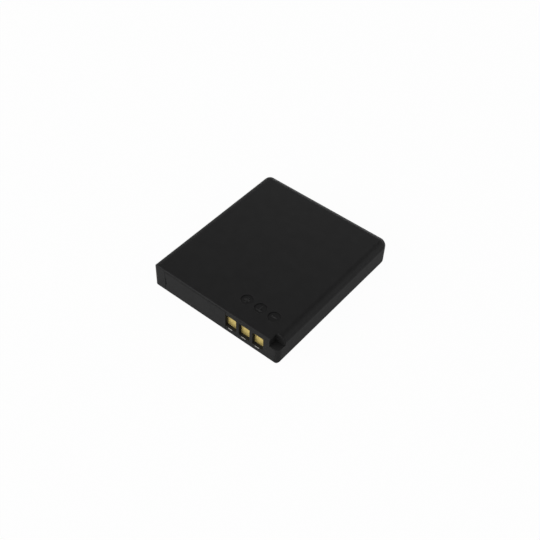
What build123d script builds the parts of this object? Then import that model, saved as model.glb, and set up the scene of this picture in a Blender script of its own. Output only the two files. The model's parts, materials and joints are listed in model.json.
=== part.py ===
from build123d import *
import os

# Flat rechargeable camera battery, in millimetres.
# The origin is the middle of the underside, +Z is up and the contact end faces -Y.

# Case outside
LENGTH = 41.8
WIDTH = 36.6
THICKNESS = 6.7
BACK_CORNER_R = 2.4
FRONT_CORNER_R = 1.3
TOP_EDGE_R = 1.8
BOTTOM_EDGE_R = 0.6
FRONT_TOP_EDGE_R = 0.45
FRONT_BOTTOM_EDGE_R = 0.25

# Case walls and the seat of the lid
FRONT_WALL = 0.85
SIDE_WALL = 1.0
BACK_WALL = 0.9
TOP_SKIN = 0.5
LID_SKIN = 0.5
LID_LEDGE = 0.3
LID_CORNER_R = 1.5
SEAM_GAP = 0.1

# Contact windows in the front wall
WINDOW_FROM_SIDE = 9.45
WINDOW_PITCH = 3.8
WINDOW_WIDTH = 2.95
WINDOW_HEIGHT = 3.65
WINDOW_SILL = 1.65
WINDOW_CORNER_R = 0.25
WINDOW_RIM_R = 0.08

# Key notch in the corner beside the windows, and the posts that back it
NOTCH_WIDTH = 2.45
NOTCH_DEPTH = 2.35
NOTCH_HEIGHT = 2.3
NOTCH_CORNER_R = 0.3
NOTCH_RIM_R = 0.3
POST_WALL = 0.85
GUIDE_LIP = 0.6

# Round sunk fields for the polarity signs, one behind each window
FIELD_DIAMETER = 2.9
FIELD_SINK = 0.16
FIELD_RIM_R = 0.08
FIELD_FROM_FRONT = 5.5

# Tongue of the lid that closes the front wall beside the windows
TONGUE_FROM_SIDE = 3.55
RELIEF_WIDTH = 0.55
RELIEF_DEPTH = 0.15
RELIEF_HEIGHT = 2.5
RELIEF_SILL = 2.3

# Contacts, bent from sheet
CONTACT_SHEET = 0.2
CONTACT_LAP = 0.18
FOOT_WIDTH = 1.15
FOOT_SHIFT = -0.15
FOOT_DROP = 0.12
FOOT_CLEARANCE = 0.02

# Circuit board and the parts soldered to it
BOARD_SHEET = 0.6
BOARD_TOP_GAP = 0.5
BOARD_SIDE_GAP = 0.1
BOARD_BACK_GAP = 0.05
CHIP_STANDOFF = 0.1
LEAD_SHEET = 0.15
LEAD_WIDTH = 0.3
LEAD_REACH = 0.5
PROTECTION_CHIP_X = -6.0
PROTECTION_CHIP = (2.9, 1.1, 1.6)
SWITCH_CHIP_X = -1.0
SWITCH_CHIP = (4.4, 1.0, 2.6)
CAPACITOR_X = 2.9
RESISTOR_X = 4.2
RESISTOR_PITCH = 1.2
THERMISTOR_FROM_CUTOUT = 1.6
PASSIVE_WIDTH = 0.8
PASSIVE_HEIGHT = 1.6
PASSIVE_END = 0.35
PASSIVE_STEP = 0.05
RESISTOR_THICK = 0.45
CERAMIC_THICK = 0.8

# Sealed lithium cell with its cap towards the contact end
BOARD_ZONE = 4.25
CELL_SIDE_GAP = 0.3
CELL_END_GAP = 0.2
CELL_FLAT = 0.8
CELL_END_R = 1.2
CAP_RIM = 0.4
CAP_RECESS = 0.25
GASKET = (5.0, 0.3, 2.8)
RIVET = (3.6, 0.6, 2.0)
TERMINAL_R = 0.9

# Insulating paper, tapes, thermal cut-out and welded strips
TAPE = 0.15
TAPE_WIDTH = 24.0
TAPE_LENGTH = 28.0
PAPER = 0.2
PAPER_GAP = 0.1
PAPER_MARGIN = 0.25
STRIP = 0.15
STRIP_BEND_R = 0.35
STRIP_HEIGHT = 2.2
STRIP_TOP_GAP = 1.2
STRIP_LEG = 2.8
POSITIVE_STRIP_FROM_SIDE = 7.3
POSITIVE_STRIP_WIDTH = 3.0
CUTOUT_X = 7.1
CUTOUT_LENGTH = 5.0
CUTOUT_HEIGHT = 3.2
CUTOUT_EDGE_R = 0.3
CUTOUT_LAP = 1.3
CUTOUT_STRIP_WIDTH = 2.4

# Places that follow from the sizes above
RIGHT = WIDTH / 2
FRONT = -LENGTH / 2
BACK = LENGTH / 2
INNER_RIGHT = RIGHT - SIDE_WALL
INNER_FRONT = FRONT + FRONT_WALL
INNER_BACK = BACK - BACK_WALL
INNER_TOP = THICKNESS - TOP_SKIN
INNER_MIDDLE = (LID_SKIN + INNER_TOP) / 2
MIDDLE_WINDOW = RIGHT - WINDOW_FROM_SIDE
WINDOW_CENTRES = [MIDDLE_WINDOW + step * WINDOW_PITCH for step in (-1, 0, 1)]
FOOT_TOP = WINDOW_SILL - FOOT_DROP
FOOT_BOTTOM = FOOT_TOP - CONTACT_SHEET
TONGUE_LEFT = TONGUE_FROM_SIDE - RIGHT
TONGUE_RIGHT = WINDOW_CENTRES[0] - WINDOW_WIDTH / 2
NOTCH_LEFT = RIGHT - NOTCH_WIDTH
NOTCH_BACK = FRONT + NOTCH_DEPTH
NOTCH_FLOOR = THICKNESS - NOTCH_HEIGHT
POST_FACE = NOTCH_LEFT - POST_WALL
POST_BACK = NOTCH_BACK + POST_WALL
BOARD_FRONT = INNER_FRONT + CONTACT_SHEET
BOARD_BACK = BOARD_FRONT + BOARD_SHEET
BOARD_RIGHT = POST_FACE - BOARD_SIDE_GAP
BOARD_TOP = INNER_TOP - BOARD_TOP_GAP
CELL_RIGHT = INNER_RIGHT - CELL_SIDE_GAP
CELL_FRONT = INNER_FRONT + BOARD_ZONE
CELL_BACK = INNER_BACK - CELL_END_GAP
CELL_BOTTOM = LID_SKIN + TAPE
CELL_TOP = INNER_TOP - TAPE
CELL_SIDE_R = (CELL_TOP - CELL_BOTTOM - CELL_FLAT) / 2
CELL_CENTRE = (CELL_FRONT + CELL_BACK) / 2
CAP_FACE = CELL_FRONT + CAP_RECESS
PAPER_FACE = CAP_FACE - PAPER
GASKET_FACE = CAP_FACE - GASKET[1]
RIVET_FACE = GASKET_FACE - RIVET[1]
POSITIVE_STRIP_X = POSITIVE_STRIP_FROM_SIDE - RIGHT
STRIP_TOP = INNER_TOP - STRIP_TOP_GAP
STRIP_BOTTOM = STRIP_TOP - STRIP_LEG
CUTOUT_LEFT = CUTOUT_X - CUTOUT_LENGTH / 2
CUTOUT_RIGHT = CUTOUT_X + CUTOUT_LENGTH / 2
THERMISTOR_X = CUTOUT_RIGHT + THERMISTOR_FROM_CUTOUT

# How far a cutting shape runs past the face that it opens
PAST = 1.0


def block(x0, x1, y0, y1, z0, z1):
    """A box between two opposite corners."""
    middle = Pos((x0 + x1) / 2, (y0 + y1) / 2, (z0 + z1) / 2)
    return middle * Box(x1 - x0, y1 - y0, z1 - z0)


def upright_edges(solid, end):
    """The edges along Z at the front (0) or at the back (-1) of a box."""
    return solid.edges().filter_by(Axis.Z).group_by(Axis.Y)[end]


def side_and_back_edges(face):
    """The edges of a level face, without the straight one at the front."""
    return face.edges().sort_by(Axis.Y)[1:]


def rounded_bar(x, y0, y1, z, width, height, radius):
    """A bar along Y with a rounded rectangular section."""
    section = Plane.XZ * RectangleRounded(width, height, radius)
    return Pos(x, y1, z) * extrude(section, y1 - y0)


def front_edge_cut(edge_z, up, radius):
    """What is cut away to round the front edge of the upper (up 1) or lower (up -1) face."""
    low = edge_z - up * radius
    inner = FRONT + radius
    bulge = radius * (1 - 0.5**0.5)
    arc = ThreePointArc((FRONT, low), (FRONT + bulge, edge_z - up * bulge), (inner, edge_z))
    rest = Polyline(
        (inner, edge_z),
        (inner, edge_z + up * PAST),
        (FRONT - PAST, edge_z + up * PAST),
        (FRONT - PAST, low),
        (FRONT, low),
    )
    section = Plane.YZ * make_face([arc, rest])
    return Pos(-RIGHT - PAST, 0, 0) * extrude(section, WIDTH + 2 * PAST)


# Case shell


def case_outside():
    """The whole case as one lump: soft sides and back, flat crisp contact end."""
    lump = block(-RIGHT, RIGHT, FRONT - PAST, BACK, 0, THICKNESS)
    lump = fillet(upright_edges(lump, -1), BACK_CORNER_R)
    lump = fillet(side_and_back_edges(lump.faces().sort_by(Axis.Z)[-1]), TOP_EDGE_R)
    lump = fillet(side_and_back_edges(lump.faces().sort_by(Axis.Z)[0]), BOTTOM_EDGE_R)
    outline = block(-RIGHT, RIGHT, FRONT, BACK + PAST, -PAST, THICKNESS + PAST)
    outline = fillet(upright_edges(outline, 0), FRONT_CORNER_R)
    return lump & outline


def case_cavity():
    """The room inside the case, open at the underside."""
    room = block(-INNER_RIGHT, INNER_RIGHT, INNER_FRONT, INNER_BACK, -PAST, INNER_TOP)
    room = fillet(upright_edges(room, -1), BACK_CORNER_R - BACK_WALL)
    return fillet(side_and_back_edges(room.faces().sort_by(Axis.Z)[-1]), TOP_EDGE_R - TOP_SKIN)


def lid_outline(gap, z0, z1):
    """The lid's plate, or the seat for it when there is no gap."""
    reach = LID_LEDGE - gap
    plate = block(
        -INNER_RIGHT - reach, INNER_RIGHT + reach, INNER_FRONT - reach, INNER_BACK + reach, z0, z1
    )
    return fillet(upright_edges(plate, -1), LID_CORNER_R)


def board_guide():
    """The corner post beside the board's right end, with the lip behind the board."""
    post = block(POST_FACE, INNER_RIGHT, INNER_FRONT, POST_BACK, LID_SKIN, INNER_TOP)
    lip_front = BOARD_BACK + BOARD_BACK_GAP
    lip = block(POST_FACE - GUIDE_LIP, POST_FACE, lip_front, POST_BACK, LID_SKIN, INNER_TOP)
    return post + lip


def key_notch():
    """The room of the notch that keys the battery, open upwards, forwards and to the right."""
    notch = block(NOTCH_LEFT, RIGHT + PAST, FRONT - PAST, NOTCH_BACK, NOTCH_FLOOR, THICKNESS + PAST)
    inner_edge = upright_edges(notch, -1).sort_by(Axis.X)[0]
    return fillet(inner_edge, NOTCH_CORNER_R)


def notch_corner():
    """What is cut away to round the upright edge between the notch and the case's side."""
    start = RIGHT - FRONT_CORNER_R
    end = NOTCH_BACK + FRONT_CORNER_R
    corner = block(start, RIGHT + PAST, FRONT, end, NOTCH_FLOOR, THICKNESS + PAST)
    wall = block(start - PAST, RIGHT, NOTCH_BACK, end + PAST, NOTCH_FLOOR - PAST, THICKNESS + 2 * PAST)
    return corner - fillet(upright_edges(wall, 0).sort_by(Axis.X)[-1], FRONT_CORNER_R)


def sign_field(x):
    """The room of a round sunk field in the upper face."""
    field = Cylinder(FIELD_DIAMETER / 2, FIELD_SINK + PAST, align=(Align.CENTER, Align.CENTER, Align.MIN))
    return Pos(x, FRONT + FIELD_FROM_FRONT, THICKNESS - FIELD_SINK) * field


def contact_window(x):
    """The room of a contact window in the front wall."""
    middle = WINDOW_SILL + WINDOW_HEIGHT / 2
    return rounded_bar(x, FRONT - PAST, INNER_FRONT, middle, WINDOW_WIDTH, WINDOW_HEIGHT, WINDOW_CORNER_R)


def foot_slot(x):
    """The room of the slot under a window that holds the contact's foot."""
    half = FOOT_WIDTH / 2 + FOOT_CLEARANCE
    middle = x + FOOT_SHIFT
    low = FOOT_BOTTOM - FOOT_CLEARANCE
    high = FOOT_TOP + FOOT_CLEARANCE
    return block(middle - half, middle + half, FRONT - PAST, INNER_FRONT, low, high)


def tongue_gap():
    """The room in the front wall for the lid's tongue, which is also the first window's left wall."""
    gap = block(TONGUE_LEFT, TONGUE_RIGHT, FRONT - PAST, INNER_FRONT, -PAST, INNER_TOP)
    window_top = WINDOW_SILL + WINDOW_HEIGHT
    return gap + block(TONGUE_LEFT, WINDOW_CENTRES[0], FRONT - PAST, INNER_FRONT, WINDOW_SILL, window_top)


def rim_edges(solid, x):
    """The edges of a window's mouth on the front face."""
    half = WINDOW_WIDTH / 2 + WINDOW_RIM_R
    mouth = solid.edges().filter_by_position(Axis.Y, FRONT - WINDOW_RIM_R, FRONT + WINDOW_RIM_R)
    mouth = mouth.filter_by_position(Axis.X, x - half, x + half)
    return mouth.filter_by_position(Axis.Z, FOOT_TOP, WINDOW_SILL + WINDOW_HEIGHT + WINDOW_RIM_R)


def case_shell():
    outside = case_outside()
    shell = outside - case_cavity() - lid_outline(0, -PAST, LID_SKIN)
    guide = board_guide() & outside
    shell = shell + guide + mirror(guide, Plane.YZ) - key_notch()
    level_edges = shell.edges().filter_by(Axis.X)
    notch_rim = level_edges.filter_by_position(Axis.Y, NOTCH_BACK - NOTCH_RIM_R, NOTCH_BACK + NOTCH_RIM_R)
    shell = fillet(notch_rim.sort_by(Axis.Z)[-1], NOTCH_RIM_R) - notch_corner()
    for x in WINDOW_CENTRES:
        shell = shell - sign_field(x)
        shell = shell - contact_window(x)
    shell = fillet(shell.edges().filter_by(GeomType.CIRCLE).group_by(Axis.Z)[-1], FIELD_RIM_R)
    shell = shell - tongue_gap()
    for x in WINDOW_CENTRES:
        shell = fillet(rim_edges(shell, x), WINDOW_RIM_R)
        shell = shell - foot_slot(x)
    shell = shell - front_edge_cut(THICKNESS, 1, FRONT_TOP_EDGE_R)
    return shell - front_edge_cut(0, -1, FRONT_BOTTOM_EDGE_R)


# Case lid


def case_lid():
    lid = lid_outline(SEAM_GAP, 0, LID_SKIN)
    tongue_left = TONGUE_LEFT + SEAM_GAP
    tongue_right = TONGUE_RIGHT - SEAM_GAP
    lid = lid + block(tongue_left, tongue_right, FRONT, INNER_FRONT, 0, INNER_TOP - SEAM_GAP)
    lid = lid - block(
        TONGUE_LEFT - PAST,
        TONGUE_LEFT + RELIEF_WIDTH,
        FRONT - PAST,
        FRONT + RELIEF_DEPTH,
        RELIEF_SILL,
        RELIEF_SILL + RELIEF_HEIGHT,
    )
    return lid - front_edge_cut(0, -1, FRONT_BOTTOM_EDGE_R)


# Contacts and circuit board


def contact(x):
    """A contact plate behind its window, with the foot that is held in the front wall."""
    half = WINDOW_WIDTH / 2 + CONTACT_LAP
    plate_top = WINDOW_SILL + WINDOW_HEIGHT + CONTACT_LAP
    plate = block(x - half, x + half, INNER_FRONT, BOARD_FRONT, FOOT_BOTTOM, plate_top)
    foot_x = x + FOOT_SHIFT
    foot = block(foot_x - FOOT_WIDTH / 2, foot_x + FOOT_WIDTH / 2, FRONT, INNER_FRONT, FOOT_BOTTOM, FOOT_TOP)
    return plate + foot


def circuit_board():
    return block(-BOARD_RIGHT, BOARD_RIGHT, BOARD_FRONT, BOARD_BACK, LID_SKIN, BOARD_TOP)


def chip(x, size, leads_per_side):
    """A moulded chip on the back of the board, with bent leads above and below."""
    length, thick, height = size
    low_y = BOARD_BACK + CHIP_STANDOFF
    high_y = BOARD_BACK + thick
    half = height / 2
    shape = block(x - length / 2, x + length / 2, low_y, high_y, INNER_MIDDLE - half, INNER_MIDDLE + half)
    lead_pitch = length / leads_per_side
    shoulder_y = (low_y + high_y) / 2
    for number in range(leads_per_side):
        lead_x = x + (number - (leads_per_side - 1) / 2) * lead_pitch
        x0 = lead_x - LEAD_WIDTH / 2
        x1 = lead_x + LEAD_WIDTH / 2
        for side in (-1, 1):
            edge_z = INNER_MIDDLE + side * half
            near_z, bend_z = sorted((edge_z, edge_z + side * LEAD_SHEET))
            foot_z0, foot_z1 = sorted((edge_z, edge_z + side * LEAD_REACH))
            shape = shape + block(x0, x1, BOARD_BACK, shoulder_y, near_z, bend_z)
            shape = shape + block(x0, x1, BOARD_BACK, BOARD_BACK + LEAD_SHEET, foot_z0, foot_z1)
    return shape


def passive(x, thick):
    """A small upright chip resistor or capacitor with its two end caps."""
    half_x = PASSIVE_WIDTH / 2
    half_z = PASSIVE_HEIGHT / 2
    low = INNER_MIDDLE - half_z
    high = INNER_MIDDLE + half_z
    body = block(
        x - half_x + PASSIVE_STEP,
        x + half_x - PASSIVE_STEP,
        BOARD_BACK + PASSIVE_STEP,
        BOARD_BACK + thick - PASSIVE_STEP,
        low + PASSIVE_STEP,
        high - PASSIVE_STEP,
    )
    lower_cap = block(x - half_x, x + half_x, BOARD_BACK, BOARD_BACK + thick, low, low + PASSIVE_END)
    upper_cap = block(x - half_x, x + half_x, BOARD_BACK, BOARD_BACK + thick, high - PASSIVE_END, high)
    return body + lower_cap + upper_cap


# Cell and what is welded or stuck to it


def cell_can():
    """The drawn can with its welded cap, sealed, as one solid."""
    can = block(-CELL_RIGHT, CELL_RIGHT, CELL_FRONT, CELL_BACK, CELL_BOTTOM, CELL_TOP)
    can = fillet(can.edges().filter_by(Axis.Y), CELL_SIDE_R)
    can = fillet(can.faces().sort_by(Axis.Y)[-1].edges(), CELL_END_R)
    cap_width = 2 * (CELL_RIGHT - CAP_RIM)
    cap_height = CELL_TOP - CELL_BOTTOM - 2 * CAP_RIM
    cap_r = CELL_SIDE_R - CAP_RIM
    return can - rounded_bar(0, CELL_FRONT - PAST, CAP_FACE, INNER_MIDDLE, cap_width, cap_height, cap_r)


def terminal_gasket():
    return rounded_bar(0, GASKET_FACE, CAP_FACE, INNER_MIDDLE, GASKET[0], GASKET[2], TERMINAL_R)


def terminal_rivet():
    return rounded_bar(0, RIVET_FACE, GASKET_FACE, INNER_MIDDLE, RIVET[0], RIVET[2], TERMINAL_R)


def cap_insulator():
    """Paper on the cap, open round the terminal and where the positive strip is welded."""
    half_width = CELL_RIGHT - CELL_SIDE_R
    half_height = (CELL_TOP - CELL_BOTTOM) / 2 - CAP_RIM - PAPER_GAP
    paper = block(
        -half_width, half_width, PAPER_FACE, CAP_FACE, INNER_MIDDLE - half_height, INNER_MIDDLE + half_height
    )
    paper = paper - rounded_bar(
        0,
        PAPER_FACE - PAST,
        CAP_FACE,
        INNER_MIDDLE,
        GASKET[0] + 2 * PAPER_MARGIN,
        GASKET[2] + 2 * PAPER_MARGIN,
        TERMINAL_R + PAPER_MARGIN,
    )
    weld_half = POSITIVE_STRIP_WIDTH / 2 + PAPER_MARGIN
    return paper - block(
        POSITIVE_STRIP_X - weld_half,
        POSITIVE_STRIP_X + weld_half,
        PAPER_FACE - PAST,
        CAP_FACE,
        STRIP_BOTTOM - PAPER_MARGIN,
        STRIP_TOP + PAPER_MARGIN,
    )


def bridge_strip(x, width, back_face):
    """A strip folded to a bridge, from the back of the board to a face behind it."""
    x0 = x - width / 2
    x1 = x + width / 2
    outer = block(x0, x1, BOARD_BACK, back_face, STRIP_BOTTOM, STRIP_TOP)
    outer = fillet(outer.edges().filter_by(Axis.X).group_by(Axis.Z)[-1], STRIP_BEND_R + STRIP)
    inner = block(
        x0 - PAST, x1 + PAST, BOARD_BACK + STRIP, back_face - STRIP, STRIP_BOTTOM - PAST, STRIP_TOP - STRIP
    )
    inner = fillet(inner.edges().filter_by(Axis.X).group_by(Axis.Z)[-1], STRIP_BEND_R)
    return outer - inner


def negative_strip():
    """The flat strip from the terminal to the near end of the thermal cut-out."""
    low = INNER_MIDDLE - STRIP_HEIGHT / 2
    high = INNER_MIDDLE + STRIP_HEIGHT / 2
    end = CUTOUT_LEFT + CUTOUT_LAP
    return block(-RIVET[0] / 2, end, RIVET_FACE - STRIP, RIVET_FACE, low, high)


def thermal_cutout():
    """The thermal cut-out lies on the paper and is as high as the terminal."""
    low = INNER_MIDDLE - CUTOUT_HEIGHT / 2
    high = INNER_MIDDLE + CUTOUT_HEIGHT / 2
    body = block(CUTOUT_LEFT, CUTOUT_RIGHT, RIVET_FACE, PAPER_FACE, low, high)
    return fillet(body.edges().filter_by(Axis.Y), CUTOUT_EDGE_R)


def tape(z0, z1):
    """A pad of adhesive tape between a broad side of the cell and the case."""
    half = TAPE_WIDTH / 2
    reach = TAPE_LENGTH / 2
    return block(-half, half, CELL_CENTRE - reach, CELL_CENTRE + reach, z0, z1)


def resistors():
    return Compound(children=[passive(RESISTOR_X + step * RESISTOR_PITCH, RESISTOR_THICK) for step in (0, 1)])


parts = {
    "case_shell": case_shell(),
    "case_lid": case_lid(),
    "contact_positive": contact(WINDOW_CENTRES[0]),
    "contact_sense": contact(WINDOW_CENTRES[1]),
    "contact_negative": contact(WINDOW_CENTRES[2]),
    "circuit_board": circuit_board(),
    "protection_chip": chip(PROTECTION_CHIP_X, PROTECTION_CHIP, 3),
    "switch_chip": chip(SWITCH_CHIP_X, SWITCH_CHIP, 4),
    "chip_capacitor": passive(CAPACITOR_X, CERAMIC_THICK),
    "chip_resistors": resistors(),
    "thermistor": passive(THERMISTOR_X, CERAMIC_THICK),
    "cell_can": cell_can(),
    "terminal_gasket": terminal_gasket(),
    "terminal_rivet": terminal_rivet(),
    "cap_insulator": cap_insulator(),
    "positive_strip": bridge_strip(POSITIVE_STRIP_X, POSITIVE_STRIP_WIDTH, CAP_FACE),
    "negative_strip": negative_strip(),
    "thermal_cutout": thermal_cutout(),
    "cutout_strip": bridge_strip(CUTOUT_RIGHT - CUTOUT_STRIP_WIDTH / 2, CUTOUT_STRIP_WIDTH, RIVET_FACE),
    "tape_upper": tape(CELL_TOP, INNER_TOP),
    "tape_lower": tape(LID_SKIN, CELL_BOTTOM),
}

os.makedirs("parts", exist_ok=True)
for name, shape in parts.items():
    export_step(shape, f"parts/{name}.step")
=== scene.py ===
import json
import math

import bmesh
import bpy
from mathutils import Matrix, Vector


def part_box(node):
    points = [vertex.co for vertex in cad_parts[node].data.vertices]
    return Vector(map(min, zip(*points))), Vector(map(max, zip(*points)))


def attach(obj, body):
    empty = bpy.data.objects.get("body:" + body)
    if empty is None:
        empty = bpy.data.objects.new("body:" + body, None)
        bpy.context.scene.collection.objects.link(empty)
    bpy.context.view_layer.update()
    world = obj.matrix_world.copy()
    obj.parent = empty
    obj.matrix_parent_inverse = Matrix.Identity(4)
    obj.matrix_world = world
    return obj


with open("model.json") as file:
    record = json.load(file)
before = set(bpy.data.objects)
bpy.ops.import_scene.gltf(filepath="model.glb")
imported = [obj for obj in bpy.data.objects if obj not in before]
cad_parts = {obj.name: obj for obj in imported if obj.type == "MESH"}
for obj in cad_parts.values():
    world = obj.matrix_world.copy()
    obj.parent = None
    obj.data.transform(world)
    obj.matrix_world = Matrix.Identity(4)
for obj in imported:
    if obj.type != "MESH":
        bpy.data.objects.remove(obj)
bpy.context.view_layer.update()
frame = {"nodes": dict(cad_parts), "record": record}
nodes = frame["nodes"]

MM = 0.001

# Places on the case, from the frame
CASE_LOW, CASE_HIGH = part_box("case_shell")
LEFT = CASE_LOW.x
RIGHT = CASE_HIGH.x
FRONT = CASE_LOW.y
BACK = CASE_HIGH.y
TOP = CASE_HIGH.z
FRONT_WALL_BACK = FRONT + 0.85 * MM
NOTCH_LEFT = RIGHT - 2.45 * MM
NOTCH_BACK = FRONT + 2.35 * MM
NOTCH_FLOOR = TOP - 2.3 * MM
FIELD_Y = FRONT + 5.5 * MM
FIELD_FLOOR = TOP - 0.16 * MM

# Roundings of the solids
SIDE_ROUND = 1.8 * MM
LOW_ROUND = 0.6 * MM
BACK_ROUND = 2.4 * MM
NOTCH_ROUND = 1.3 * MM
NOTCH_RIM = 0.3 * MM

# Tighter back corners, made by pieces of the scene
LEFT_BACK_ROUND = 1.8 * MM
RIGHT_BACK_ROUND = 2.1 * MM

# How finely those pieces and the notch's edge are made
RIM_STEPS = 6
EDGE_STEPS = 10
SIDE_STEPS = 12
WELD = 0.001 * MM
SHARP_ANGLE = math.radians(25)

# Recesses in the case, each by its edges: an axis, where the recess starts and where it is full
# Where the notch is duller and takes painted fill light
NOTCH = (
    ("X", NOTCH_LEFT - 0.1 * MM, NOTCH_LEFT - 0.05 * MM),
    ("Y", NOTCH_BACK + 0.15 * MM, NOTCH_BACK + 0.02 * MM),
    ("Z", NOTCH_FLOOR - 0.02 * MM, NOTCH_FLOOR - 0.005 * MM),
    ("Z", TOP - 0.1 * MM, TOP - 0.5 * MM),
)
# Where painted shade darkens the notch's walls
NOTCH_WALLS = (
    ("X", NOTCH_LEFT - 0.1 * MM, NOTCH_LEFT - 0.05 * MM),
    ("Y", NOTCH_BACK + 0.1 * MM, NOTCH_BACK + 0.01 * MM),
    ("Z", NOTCH_FLOOR + 0.01 * MM, NOTCH_FLOOR + 0.1 * MM),
    ("Z", TOP - 0.2 * MM, TOP - 0.5 * MM),
)
# Where the contact windows are duller and take painted fill light
WINDOWS = (
    ("X", 3.3 * MM, 3.4 * MM),
    ("X", 14.4 * MM, 14.3 * MM),
    ("Y", FRONT + 0.05 * MM, FRONT + 0.15 * MM),
    ("Y", FRONT_WALL_BACK, FRONT_WALL_BACK - 0.01 * MM),
    ("Z", 1.1 * MM, 1.2 * MM),
    ("Z", 5.7 * MM, 5.6 * MM),
)
# Where painted light lightens the relief slot
RELIEF = (
    ("X", -14.95 * MM, -14.9 * MM),
    ("X", -14.6 * MM, -14.65 * MM),
    ("Y", FRONT + 0.005 * MM, FRONT + 0.03 * MM),
    ("Y", FRONT_WALL_BACK, FRONT_WALL_BACK - 0.01 * MM),
    ("Z", 6.2 * MM, 6.1 * MM),
)
# Where painted shade darkens the walls of the sunk fields
FIELD_WALLS = (
    ("X", 2.8 * MM, 2.9 * MM),
    ("X", 14.9 * MM, 14.8 * MM),
    ("Y", FIELD_Y - 1.9 * MM, FIELD_Y - 1.8 * MM),
    ("Y", FIELD_Y + 1.9 * MM, FIELD_Y + 1.8 * MM),
    ("Z", FIELD_FLOOR + 0.001 * MM, FIELD_FLOOR + 0.01 * MM),
    ("Z", TOP - 0.01 * MM, TOP - 0.03 * MM),
)

# Look of the recesses: the share of painted shade on the notch's walls, and the least roughness in all of
# them
NOTCH_SHADE = 0.5
HOLLOW_ROUGHNESS = 0.75

# Bare metal ends of the contacts and tinned ends of the small components
BARE_END = FRONT + 0.05 * MM
TINNED_FROM_MIDDLE = 0.45 * MM

# Polarity signs in the sunk round fields
SIGN_HEIGHT = 0.13 * MM
SIGN_LENGTH = 1.5 * MM
SIGN_STROKE = 0.36 * MM
SIGN_EDGE = 0.1 * MM
SIGN_EDGE_STEPS = 3
TEE_RISE = 0.8 * MM

# Floor: half its side, its drop below the object, and how white it is to the eye and in mirrored light
FLOOR_REACH = 1.5
FLOOR_DROP = 0.02 * MM
EYE_SHARE = 0.97
MIRROR_SHARE = 0.3

# Light in the room by height, from the horizon at 0 to overhead at 1; light 1 is white
ROOM = [(0.0, 1.0), (0.08, 1.0), (0.25, 0.43), (1.0, 0.2)]
LIGHT_DISTANCE = 0.7

# Camera of the photograph: pinhole, square picture
PICTURE_SIDE = 540
FOCAL_PIXELS = 874.81
SENSOR = 36.0
AZIMUTH = math.radians(37.186)
ELEVATION = math.radians(46.866)
ROLL = math.radians(2.693)
DISTANCE = 206.96 * MM
SHIFT_RIGHT = -0.593 * MM
SHIFT_UP = 0.151 * MM
CLIP_START = 10 * MM


# Node helpers


def set_stops(ramp, stops):
    """Gives a colour ramp its stops, each a position and a colour."""
    elements = ramp.color_ramp.elements
    while len(elements) < len(stops):
        elements.new(0.5)
    for element, (position, colour) in zip(elements, stops):
        element.position = position
        element.color = (*colour, 1)


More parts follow.
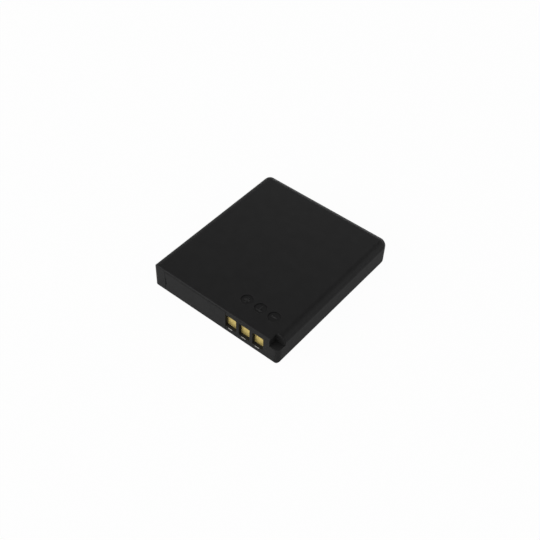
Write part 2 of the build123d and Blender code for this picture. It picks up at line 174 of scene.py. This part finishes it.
class Shader:
    """A new material with a Principled shader, and short calls to build its nodes."""

    def __init__(self, name):
        self.material = bpy.data.materials.new(name)
        self.material.use_nodes = True
        self.tree = self.material.node_tree
        self.bsdf = self.tree.nodes["Principled BSDF"]
        self.place = self.add("ShaderNodeTexCoord").outputs["Object"]

    def add(self, kind, **settings):
        node = self.tree.nodes.new(kind)
        for key, value in settings.items():
            setattr(node, key, value)
        return node

    def link(self, source, target):
        self.tree.links.new(source, target)

    def stretched(self, scale):
        """Object coordinates in metres, times a scale on each axis."""
        mapping = self.add("ShaderNodeMapping")
        mapping.inputs["Scale"].default_value = scale
        self.link(self.place, mapping.inputs["Vector"])
        return mapping.outputs["Vector"]

    def noise(self, grain, detail=3.0, stretch=(1, 1, 1)):
        """Noise whose grains measure about the given size in metres."""
        node = self.add("ShaderNodeTexNoise")
        node.inputs["Scale"].default_value = 1 / grain
        node.inputs["Detail"].default_value = detail
        self.link(self.stretched(stretch), node.inputs["Vector"])
        return node.outputs["Fac"]

    def cells(self, size, stretch=(1, 1, 1)):
        """Distance to the nearest of many scattered points."""
        node = self.add("ShaderNodeTexVoronoi")
        node.inputs["Scale"].default_value = 1 / size
        self.link(self.stretched(stretch), node.inputs["Vector"])
        return node.outputs["Distance"]

    def tones(self, value, dark, light, start=0.3, end=0.7):
        """Two colours along a value, dark up to the start and light from the end."""
        node = self.add("ShaderNodeValToRGB")
        set_stops(node, [(start, dark), (end, light)])
        self.link(value, node.inputs["Fac"])
        return node.outputs["Color"]

    def greys(self, value, dark, light):
        """Two greys along a value."""
        return self.tones(value, (dark, dark, dark), (light, light, light))

    def spread(self, value, low, high, start=0.25, end=0.75):
        """A value from start to end, spread between low and high."""
        node = self.add("ShaderNodeMapRange")
        for key, number in zip(("From Min", "From Max", "To Min", "To Max"), (start, end, low, high)):
            node.inputs[key].default_value = number
        self.link(value, node.inputs["Value"])
        return node.outputs["Result"]

    def along(self, axis):
        """One object coordinate, in metres."""
        split = self.add("ShaderNodeSeparateXYZ")
        self.link(self.place, split.inputs["Vector"])
        return split.outputs[axis]

    def math(self, operation, first, second):
        """A sum on a socket and a second socket or number."""
        node = self.add("ShaderNodeMath", operation=operation)
        self.link(first, node.inputs[0])
        if isinstance(second, (int, float)):
            node.inputs[1].default_value = second
        else:
            self.link(second, node.inputs[1])
        return node.outputs[0]

    def within(self, edges):
        """1 inside all the edges, 0 outside any of them."""
        inside = None
        for axis, start, full in edges:
            past = self.spread(self.along(axis), 0.0, 1.0, start, full)
            inside = past if inside is None else self.math("MULTIPLY", inside, past)
        return inside

    def mix(self, share, first, second):
        """Two colours mixed by a share from 0 to 1."""
        node = self.add("ShaderNodeMix", data_type="RGBA")
        self.link(share, node.inputs["Factor"])
        self.link(first, node.inputs[6])
        self.link(second, node.inputs[7])
        return node.outputs[2]

    def bump(self, heights):
        """Bumps from pairs of a value and its height in metres."""
        normal = None
        for value, height in heights:
            node = self.add("ShaderNodeBump")
            node.inputs["Distance"].default_value = height
            self.link(value, node.inputs["Height"])
            if normal is not None:
                self.link(normal, node.inputs["Normal"])
            normal = node.outputs["Normal"]
        self.link(normal, self.bsdf.inputs["Normal"])

    def base(self, colour, roughness, metallic=0.0, specular=0.5):
        self.link(colour, self.bsdf.inputs["Base Color"])
        self.link(roughness, self.bsdf.inputs["Roughness"])
        self.bsdf.inputs["Metallic"].default_value = metallic
        self.bsdf.inputs["Specular IOR Level"].default_value = specular


# Materials


def case_plastic():
    """Fine matt black moulding, duller in its recesses; painted light makes the notch, the windows and the
    relief slot lighter, and painted shade darkens the walls of the sunk fields and of the notch.
    """
    shader = Shader("case_plastic")
    mottle = shader.noise(2.5 * MM)
    outside = shader.tones(mottle, (0.0112, 0.0112, 0.0113), (0.0128, 0.0128, 0.0129))
    # inside: painted fill light, a lighter colour in the notch and the contact windows, where little light
    # reaches
    inside = shader.greys(mottle, 0.014, 0.016)
    # slot: painted light, a much lighter colour in the relief slot, which otherwise lies in shadow
    slot = shader.greys(mottle, 0.055, 0.065)
    # shade: painted shade, a darker colour on the walls of the sunk fields and, at NOTCH_SHADE's share, of
    # the notch
    shade = shader.greys(mottle, 0.004, 0.005)
    recess = shader.math("MAXIMUM", shader.within(NOTCH), shader.within(WINDOWS))
    relief = shader.within(RELIEF)
    dim = shader.math("MULTIPLY", shader.within(NOTCH_WALLS), NOTCH_SHADE)
    walls = shader.math("MAXIMUM", shader.within(FIELD_WALLS), dim)
    hollow = shader.math("MAXIMUM", shader.math("MAXIMUM", recess, relief), walls)
    dull = shader.math("MULTIPLY", hollow, HOLLOW_ROUGHNESS)
    grain = shader.noise(0.09 * MM, detail=2.0)
    rough = shader.math("MAXIMUM", shader.spread(grain, 0.40, 0.50), dull)
    colour = shader.mix(relief, shader.mix(recess, outside, inside), slot)
    shader.base(shader.mix(walls, colour, shade), rough, specular=0.068)
    shader.bump([(grain, 0.004 * MM), (shader.noise(0.5 * MM), 0.004 * MM)])
    return shader.material


def sign_plastic_painted_highlight():
    """The raised signs, a little lighter than the case: a painted highlight for the light their raised
    faces catch.
    """
    shader = Shader("sign_plastic_painted_highlight")
    grain = shader.noise(0.09 * MM, detail=2.0)
    # Painted highlight: a lighter colour on the signs for the light they catch
    shader.base(shader.greys(grain, 0.011, 0.016), shader.spread(grain, 0.35, 0.45), specular=0.12)
    shader.bump([(grain, 0.004 * MM)])
    return shader.material


def contact_gold():
    """Gold plated sheet with bare sheared ends."""
    shader = Shader("contact_gold")
    tone = shader.noise(0.8 * MM)
    gold = shader.tones(tone, (0.79, 0.63, 0.22), (0.85, 0.685, 0.26))
    bare = shader.tones(tone, (0.55, 0.535, 0.50), (0.63, 0.615, 0.58))
    end = shader.math("LESS_THAN", shader.along("Y"), BARE_END)
    rolled = shader.noise(0.06 * MM, stretch=(1, 1, 0.08))
    shader.base(shader.mix(end, gold, bare), shader.spread(rolled, 0.44, 0.54), metallic=1.0)
    shader.bump([(rolled, 0.002 * MM)])
    return shader.material


def board_laminate():
    """Green solder mask over the tracks and the weave of the laminate."""
    shader = Shader("board_laminate")
    tracks = shader.cells(1.4 * MM, stretch=(1, 1, 0.4))
    colour = shader.tones(tracks, (0.012, 0.10, 0.042), (0.022, 0.16, 0.07), start=0.35, end=0.42)
    weave = shader.noise(0.2 * MM)
    shader.base(colour, shader.spread(weave, 0.22, 0.32))
    shader.bump([(weave, 0.004 * MM), (tracks, 0.01 * MM)])
    return shader.material


def chip_moulding():
    """Black moulding compound."""
    shader = Shader("chip_moulding")
    grain = shader.noise(0.05 * MM)
    shader.base(shader.greys(grain, 0.014, 0.026), shader.spread(grain, 0.45, 0.6))
    shader.bump([(grain, 0.003 * MM)])
    return shader.material


def component_ceramic():
    """Sintered ceramic with tinned ends above and below."""
    shader = Shader("component_ceramic")
    low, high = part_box("chip_capacitor")
    from_middle = shader.math("SUBTRACT", shader.along("Z"), (low.z + high.z) / 2)
    end = shader.math("GREATER_THAN", shader.math("ABSOLUTE", from_middle, 0), TINNED_FROM_MIDDLE)
    grain = shader.noise(0.08 * MM)
    ceramic = shader.tones(grain, (0.42, 0.31, 0.19), (0.52, 0.40, 0.26))
    tin = shader.tones(grain, (0.62, 0.62, 0.60), (0.74, 0.74, 0.72))
    shader.base(shader.mix(end, ceramic, tin), shader.spread(grain, 0.3, 0.5))
    shader.link(end, shader.bsdf.inputs["Metallic"])
    shader.bump([(grain, 0.004 * MM)])
    return shader.material


def drawn_metal(name, dark, light, stretch, rough):
    """Metal with fine lines along the way it was drawn or rolled."""
    shader = Shader(name)
    lines = shader.noise(0.08 * MM, stretch=stretch)
    cloud = shader.noise(4 * MM)
    shader.base(shader.tones(cloud, dark, light), shader.spread(lines, *rough), metallic=1.0)
    shader.bump([(lines, 0.002 * MM)])
    return shader.material


def fibrous(name, dark, light, rough, height):
    """Paper or tape, with fibres and a slight tone from place to place."""
    shader = Shader(name)
    fibres = shader.noise(0.25 * MM, detail=8.0, stretch=(0.3, 1, 1))
    shader.base(shader.tones(fibres, dark, light), shader.spread(fibres, *rough))
    shader.bump([(fibres, height)])
    return shader.material


def moulding(name, dark, light, rough):
    """A plain moulded plastic."""
    shader = Shader(name)
    grain = shader.noise(0.12 * MM)
    shader.base(shader.tones(grain, dark, light), shader.spread(grain, *rough))
    shader.bump([(grain, 0.004 * MM)])
    return shader.material


LOOKS = {
    "case_plastic": case_plastic(),
    "contact_gold": contact_gold(),
    "board_laminate": board_laminate(),
    "chip_moulding": chip_moulding(),
    "component_ceramic": component_ceramic(),
    "cell_aluminium": drawn_metal(
        "cell_aluminium", (0.76, 0.76, 0.77), (0.83, 0.83, 0.84), (1, 0.05, 1), (0.25, 0.4)
    ),
    "strip_nickel": drawn_metal(
        "strip_nickel", (0.64, 0.62, 0.58), (0.72, 0.70, 0.66), (1, 1, 0.05), (0.2, 0.35)
    ),
    "seal_plastic": moulding("seal_plastic", (0.68, 0.68, 0.64), (0.76, 0.76, 0.72), (0.35, 0.45)),
    "cutout_moulding": moulding(
        "cutout_moulding", (0.03, 0.03, 0.034), (0.045, 0.045, 0.05), (0.25, 0.35)
    ),
    "insulating_paper": fibrous(
        "insulating_paper", (0.42, 0.5, 0.42), (0.52, 0.6, 0.52), (0.7, 0.85), 0.01 * MM
    ),
    "adhesive_tape": fibrous(
        "adhesive_tape", (0.78, 0.77, 0.72), (0.86, 0.85, 0.81), (0.5, 0.65), 0.006 * MM
    ),
}
SIGN_LOOK = sign_plastic_painted_highlight()


def dress(piece, look):
    """Gives a piece one material."""
    piece.data.materials.clear()
    piece.data.materials.append(look)


def add_to_case(name, mesh, look):
    """Makes a mesh a piece of the case."""
    piece = bpy.data.objects.new(name, mesh)
    bpy.context.scene.collection.objects.link(piece)
    dress(piece, look)
    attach(piece, "root")


for subpart in frame["record"]["subparts"]:
    dress(nodes[subpart["node"]], LOOKS[subpart["material_slot"]])


# Raised polarity signs


def plus_outline():
    arm, half = SIGN_LENGTH / 2, SIGN_STROKE / 2
    quarter = [(arm, -half), (arm, half), (half, half)]
    return [
        (x * math.cos(turn) - y * math.sin(turn), x * math.sin(turn) + y * math.cos(turn))
        for turn in (0, math.pi / 2, math.pi, 3 * math.pi / 2)
        for x, y in quarter
    ]


def tee_outline():
    """The bar lies towards the contact end."""
    arm, half = SIGN_LENGTH / 2, SIGN_STROKE / 2
    far = -TEE_RISE
    near = far + SIGN_STROKE
    foot = SIGN_LENGTH / 2
    right_side = [(arm, far), (arm, near), (half, near), (half, foot)]
    left_side = [(-x, y) for x, y in reversed(right_side)]
    return right_side + left_side


def minus_outline():
    arm, half = SIGN_LENGTH / 2, SIGN_STROKE / 2
    return [(-arm, -half), (arm, -half), (arm, half), (-arm, half)]


def raised_sign(name, outline, centre):
    """A low flat letter with softened edges, standing on the field's floor."""
    mesh = bpy.data.meshes.new(name)
    shape = bmesh.new()
    foot = shape.faces.new([shape.verts.new((x, y, 0)) for x, y in outline])
    grown = bmesh.ops.extrude_face_region(shape, geom=[foot])["geom"]
    lid_corners = [item for item in grown if isinstance(item, bmesh.types.BMVert)]
    bmesh.ops.translate(shape, verts=lid_corners, vec=(0, 0, SIGN_HEIGHT))
    upper = [edge for edge in shape.edges if all(v.co.z > SIGN_HEIGHT / 2 for v in edge.verts)]
    bmesh.ops.bevel(
        shape, geom=upper, offset=SIGN_EDGE, segments=SIGN_EDGE_STEPS, profile=0.5, affect="EDGES"
    )
    bmesh.ops.recalc_face_normals(shape, faces=shape.faces)
    bmesh.ops.translate(shape, verts=shape.verts, vec=centre)
    shape.to_mesh(mesh)
    shape.free()
    add_to_case(name, mesh, SIGN_LOOK)


SIGNS = {
    "sign_plus": ("contact_positive", plus_outline()),
    "sign_tee": ("contact_sense", tee_outline()),
    "sign_minus": ("contact_negative", minus_outline()),
}
for name, (contact, outline) in SIGNS.items():
    low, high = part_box(contact)
    raised_sign(name, outline, ((low.x + high.x) / 2, FIELD_Y, FIELD_FLOOR))


# Square outer edge of the key notch and tighter back corners, where the solids are rounder


def quarter_turn(steps):
    """Angles from 0 to a right angle in equal steps."""
    return [math.pi / 2 * step / steps for step in range(steps + 1)]


def loft(name, sections):
    """A smooth closed mesh through sections that have as many corners each."""
    count = len(sections[0])
    corners = [corner for section in sections for corner in section]
    last = len(corners) - count
    faces = [tuple(range(count)), tuple(range(last, last + count))]
    for near in range(0, last, count):
        far = near + count
        for step in range(count):
            after = (step + 1) % count
            faces.append((near + step, far + step, far + after, near + after))
    mesh = bpy.data.meshes.new(name)
    mesh.from_pydata(corners, [], faces)
    shape = bmesh.new()
    shape.from_mesh(mesh)
    bmesh.ops.remove_doubles(shape, verts=shape.verts, dist=WELD)
    bmesh.ops.recalc_face_normals(shape, faces=shape.faces)
    shape.to_mesh(mesh)
    shape.free()
    mesh.shade_smooth()
    return mesh


def edge_section(y):
    """Corners of the notch edge's upright section at y, from the floor's inner corner round to the top."""
    short = max(NOTCH_BACK + NOTCH_RIM - y, 0)
    inset = NOTCH_RIM - math.sqrt(max(NOTCH_RIM**2 - short**2, 0))
    to_round = NOTCH_BACK + NOTCH_ROUND - y
    inner = RIGHT - NOTCH_ROUND + math.sqrt(max(NOTCH_ROUND**2 - to_round**2, 0))
    centre_x, centre_z = RIGHT - SIDE_ROUND, TOP - SIDE_ROUND
    radius = SIDE_ROUND - inset
    last = math.acos(min((inner - centre_x) / radius, 1))
    corners = [(inner, y, NOTCH_FLOOR), (centre_x + radius, y, NOTCH_FLOOR)]
    for step in range(SIDE_STEPS + 1):
        angle = last * step / SIDE_STEPS
        corners.append((centre_x + radius * math.cos(angle), y, centre_z + radius * math.sin(angle)))
    return corners


def notch_edge():
    """Fills the rounding of the notch's outer edge, so that its back wall runs flat to the side."""
    rim = [NOTCH_RIM * (1 - math.cos(turn)) for turn in quarter_turn(RIM_STEPS)]
    rest = NOTCH_ROUND - NOTCH_RIM
    run = [NOTCH_RIM + rest * math.sin(turn) for turn in quarter_turn(EDGE_STEPS)[1:]]
    mesh = loft("notch_edge", [edge_section(NOTCH_BACK + depth) for depth in rim + run])
    mesh.set_sharp_from_angle(angle=SHARP_ANGLE)
    add_to_case("notch_edge", mesh, LOOKS["case_plastic"])


def corner_levels():
    """Heights of a back corner's level sections, each with its inset."""
    lower = [
        (LOW_ROUND * (1 - math.sin(tilt)), LOW_ROUND * (1 - math.cos(tilt)))
        for tilt in quarter_turn(RIM_STEPS)
    ]
    upper = [
        (TOP - SIDE_ROUND * (1 - math.sin(tilt)), SIDE_ROUND * (1 - math.cos(tilt)))
        for tilt in quarter_turn(SIDE_STEPS)
    ]
    return lower[::-1] + upper


def quarter_round(radius, inset):
    """Points from the side to the back of a corner, counted inwards from both."""
    reach = radius - inset
    return [
        (radius - reach * math.cos(turn), radius - reach * math.sin(turn))
        for turn in quarter_turn(SIDE_STEPS)
    ]


def corner_normal(from_side, from_back, z, radius):
    """Direction of a corner's outer surface, with the ways out at the side and at the back as positive."""
    side = max(radius - from_side, 0)
    back = max(radius - from_back, 0)
    level = math.hypot(side, back) or 1
    if z < LOW_ROUND:
        tilt = -math.asin(1 - z / LOW_ROUND)
    else:
        tilt = math.asin(min(max(z - TOP + SIDE_ROUND, 0) / SIDE_ROUND, 1))
    return Vector((side / level * math.cos(tilt), back / level * math.cos(tilt), math.sin(tilt)))


def back_corner(name, edge_x, way, radius):
    """Fills the room between the solids' rounder corner and one of the given radius."""
    sections = []
    for z, inset in corner_levels():
        loop = [(inset, BACK_ROUND)] + quarter_round(radius, inset) + [(BACK_ROUND, inset)]
        loop += quarter_round(BACK_ROUND, inset)[-2:0:-1]
        sections.append([(edge_x - way * side, BACK - back, z) for side, back in loop])
    mesh = loft(name, sections)
    normals = []
    for vertex in mesh.vertices:
        x, y, z = vertex.co
        normal = corner_normal(way * (edge_x - x), BACK - y, z, radius)
        normal.x *= way
        normals.append(normal)
    mesh.normals_split_custom_set_from_vertices(normals)
    add_to_case(name, mesh, LOOKS["case_plastic"])


notch_edge()
back_corner("back_corner_left", LEFT, -1, LEFT_BACK_ROUND)
back_corner("back_corner_right", RIGHT, 1, RIGHT_BACK_ROUND)


# Floor, light and camera


def floor():
    """A pale table, white to the eye, that keeps the object's shadow."""
    mesh = bpy.data.meshes.new("floor")
    signs = [(-1, -1), (1, -1), (1, 1), (-1, 1)]
    mesh.from_pydata([(x * FLOOR_REACH, y * FLOOR_REACH, 0) for x, y in signs], [], [(0, 1, 2, 3)])
    table = bpy.data.objects.new("floor", mesh)
    bpy.context.scene.collection.objects.link(table)
    table.location.z = -FLOOR_DROP
    shader = Shader("floor")
    tone = shader.greys(shader.noise(60 * MM), 0.63, 0.65)
    shader.base(tone, shader.spread(shader.noise(5 * MM), 0.85, 0.95), specular=0.1)
    glow = shader.add("ShaderNodeEmission")
    glow.inputs["Strength"].default_value = 1.0
    path = shader.add("ShaderNodeLightPath").outputs
    mirrored = shader.math("MAXIMUM", path["Is Glossy Ray"], path["Is Transmission Ray"])
    to_eye = shader.math("MULTIPLY", path["Is Camera Ray"], EYE_SHARE)
    share = shader.math("MAXIMUM", to_eye, shader.math("MULTIPLY", mirrored, MIRROR_SHARE))
    both = shader.add("ShaderNodeMixShader")
    shader.link(share, both.inputs["Fac"])
    shader.link(shader.bsdf.outputs["BSDF"], both.inputs[1])
    shader.link(glow.outputs["Emission"], both.inputs[2])
    shader.link(both.outputs["Shader"], shader.tree.nodes["Material Output"].inputs["Surface"])
    mesh.materials.append(shader.material)


def soft_light(name, azimuth, elevation, width, height, level):
    """A soft box that faces the object, from an azimuth counted from +Y towards +X; level 1 is white."""
    turn, rise = math.radians(azimuth), math.radians(elevation)
    way = Vector((math.sin(turn) * math.cos(rise), math.cos(turn) * math.cos(rise), math.sin(rise)))
    lamp = bpy.data.lights.new(name, "AREA")
    lamp.shape = "RECTANGLE"
    lamp.size = width
    lamp.size_y = height
    lamp.energy = level * math.pi * width * height
    box = bpy.data.objects.new(name, lamp)
    bpy.context.scene.collection.objects.link(box)
    box.location = way * LIGHT_DISTANCE
    box.rotation_euler = (-way).to_track_quat("-Z", "Y").to_euler()


def surroundings():
    """A pale room, white at the horizon and dimmer overhead."""
    world = bpy.data.worlds.new("room")
    bpy.context.scene.world = world
    world.use_nodes = True
    tree = world.node_tree
    place = tree.nodes.new("ShaderNodeTexCoord")
    split = tree.nodes.new("ShaderNodeSeparateXYZ")
    ramp = tree.nodes.new("ShaderNodeValToRGB")
    set_stops(ramp, [(height, (level, level, level)) for height, level in ROOM])
    tree.links.new(place.outputs["Generated"], split.inputs["Vector"])
    tree.links.new(split.outputs["Z"], ramp.inputs["Fac"])
    tree.links.new(ramp.outputs["Color"], tree.nodes["Background"].inputs["Color"])


def photo_camera():
    """The pinhole that the photograph was taken with."""
    back = Vector(
        (
            math.sin(AZIMUTH) * math.cos(ELEVATION),
            -math.cos(AZIMUTH) * math.cos(ELEVATION),
            math.sin(ELEVATION),
        )
    )
    level_right = Vector((math.cos(AZIMUTH), math.sin(AZIMUTH), 0))
    level_up = back.cross(level_right)
    right = math.cos(ROLL) * level_right + math.sin(ROLL) * level_up
    up = math.cos(ROLL) * level_up - math.sin(ROLL) * level_right
    lens = bpy.data.cameras.new("photo_camera")
    lens.sensor_fit = "HORIZONTAL"
    lens.sensor_width = SENSOR
    lens.lens = FOCAL_PIXELS / PICTURE_SIDE * SENSOR
    lens.clip_start = CLIP_START
    camera = bpy.data.objects.new("photo_camera", lens)
    bpy.context.scene.collection.objects.link(camera)
    turn = Matrix((right, up, back)).transposed().to_4x4()
    place = back * DISTANCE + right * SHIFT_RIGHT + up * SHIFT_UP
    camera.matrix_world = Matrix.Translation(place) @ turn
    bpy.context.scene.camera = camera


floor()
surroundings()
soft_light("key_light", azimuth=207, elevation=17, width=1.4, height=0.6, level=3.75)
soft_light("left_light", azimuth=312, elevation=37, width=1.1, height=0.38, level=0.4)
soft_light("back_light", azimuth=55, elevation=24, width=0.9, height=0.6, level=1.3)
soft_light("rim_light", azimuth=346, elevation=10, width=0.7, height=0.22, level=3.4)
photo_camera()
bpy.context.scene.view_settings.view_transform = "Standard"
